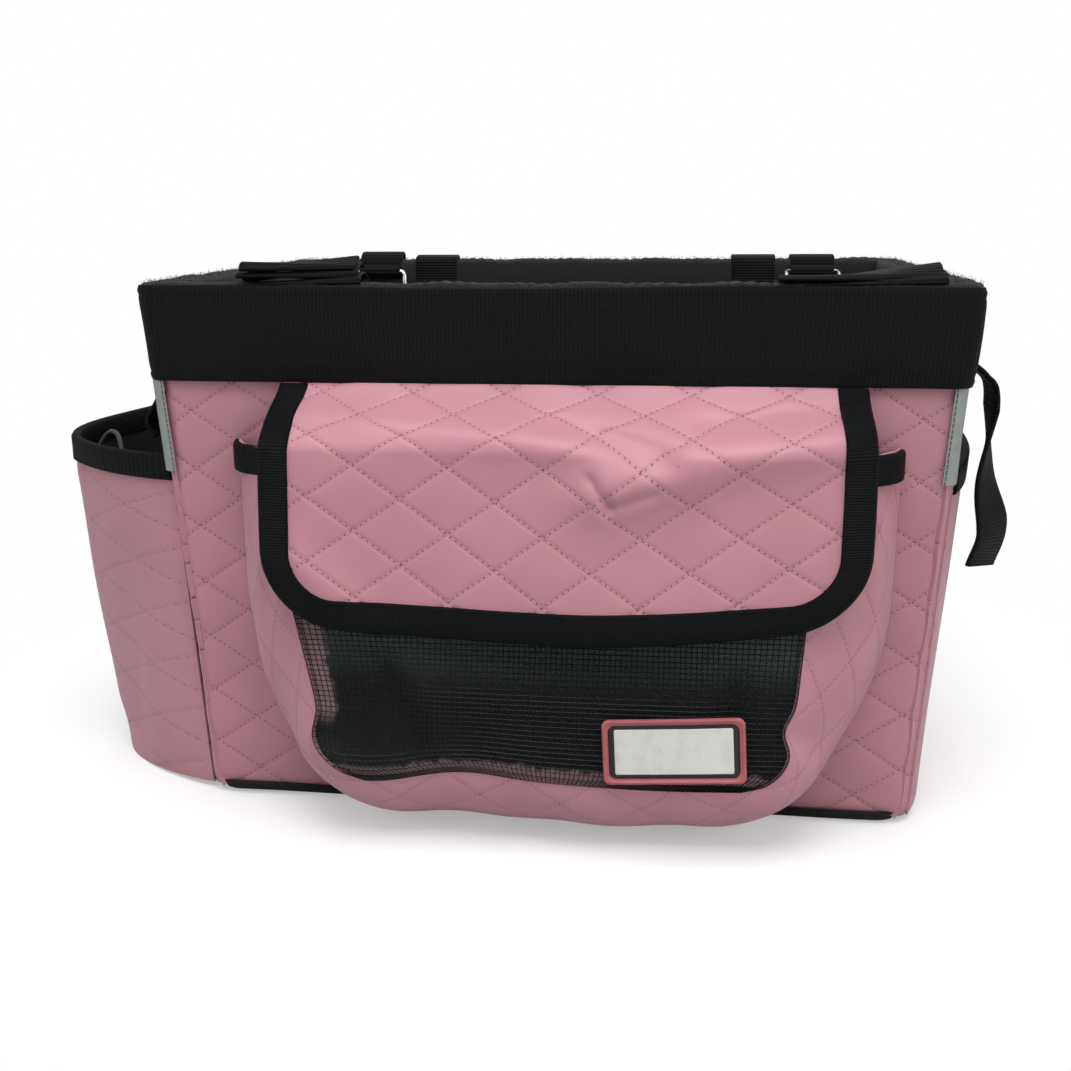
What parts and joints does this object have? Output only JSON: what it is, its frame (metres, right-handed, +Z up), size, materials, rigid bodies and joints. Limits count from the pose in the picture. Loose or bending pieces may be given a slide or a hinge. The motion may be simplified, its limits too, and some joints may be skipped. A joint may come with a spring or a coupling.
{
  "type": "soft pet basket",
  "caption": "Open-topped soft pet basket with quilted walls, webbing rim, flapped mesh front pocket, bottle pockets and handlebar loops.",
  "frame": {"origin": "middle of the underside of the base", "axes": "+X to the right as seen from the front and the longest extent, -Y out of the front pocket, +Z up"},
  "size_m": [0.4231, 0.3277, 0.2399],
  "materials": {
    "pink_vinyl": "soft pink coated fabric, stitched in diamonds",
    "black_cloth": "plain black woven nylon",
    "board": "plain stiff sheet",
    "black_webbing": "ribbed black webbing",
    "loop_tape": "fuzzy black loop tape",
    "reflective_tape": "silver-grey reflective tape",
    "black_mesh": "coated black mesh",
    "black_binding": "fine black grosgrain",
    "label_rubber": "moulded dusty red rubber",
    "label_face": "moulded off-white rubber, blank",
    "cord": "braided dark grey cord",
    "ring_metal": "bright plated wire"
  },
  "bodies": {
    "basket": {"front_panel": "pink_vinyl", "back_panel": "pink_vinyl", "left_panel": "pink_vinyl", "right_panel": "pink_vinyl", "base_panel": "black_cloth", "front_stiffener": "board", "back_stiffener": "board", "left_stiffener": "board", "right_stiffener": "board", "base_board": "board", "lining": "black_cloth", "rim_band": "black_webbing", "rim_loop_tape": "loop_tape", "left_reflective_strip": "reflective_tape", "right_reflective_strip": "reflective_tape", "pocket_gusset": "pink_vinyl", "pocket_mesh": "black_mesh", "pocket_binding": "black_binding", "pocket_loop_strip": "loop_tape", "label_frame": "label_rubber", "label_face": "label_face", "left_bottle_pocket": "pink_vinyl", "left_pocket_binding": "black_binding", "left_pocket_cord": "cord", "right_bottle_pocket": "pink_vinyl", "right_pocket_binding": "black_binding", "left_handlebar_strap": "black_webbing", "right_handlebar_strap": "black_webbing", "left_ring_tab": "black_webbing", "right_ring_tab": "black_webbing", "left_front_tab": "black_webbing", "right_front_tab": "black_webbing"},
    "flap": {"flap_panel": "pink_vinyl", "flap_binding": "black_binding", "flap_hook_strip": "loop_tape"},
    "floor_pad": {"floor_pad": "black_cloth"},
    "left_ring": {"left_ring": "ring_metal"},
    "right_ring": {"right_ring": "ring_metal"},
    "left_strap": {"left_side_strap": "black_webbing"},
    "right_strap": {"right_side_strap": "black_webbing"}
  },
  "joints": [
    {"name": "flap_hinge", "type": "hinge", "parent": "basket", "child": "flap", "pos_m": [0.009, -0.1256, 0.19004], "axis": [-1, 0, 0], "range_deg": [0, 92]},
    {"name": "floor_pad_lift", "type": "slide", "parent": "basket", "child": "floor_pad", "axis": [0, 0, 1], "range_m": [0, 0.18]},
    {"name": "left_ring_swing", "type": "hinge", "parent": "basket", "child": "left_ring", "pos_m": [-0.125, 0.11369, 0.22521], "axis": [1, 0, 0], "range_deg": [-160, 8]},
    {"name": "right_ring_swing", "type": "hinge", "parent": "basket", "child": "right_ring", "pos_m": [0.125, 0.11369, 0.22521], "axis": [1, 0, 0], "range_deg": [-95, 66]},
    {"name": "left_strap_swing", "type": "hinge", "parent": "basket", "child": "left_strap", "pos_m": [-0.17132, -0.08998, 0.20387], "axis": [0, 1, 0], "range_deg": [0, 70]},
    {"name": "right_strap_swing", "type": "hinge", "parent": "basket", "child": "right_strap", "pos_m": [0.17132, -0.08998, 0.20387], "axis": [0, -1, 0], "range_deg": [0, 70]}
  ]
}
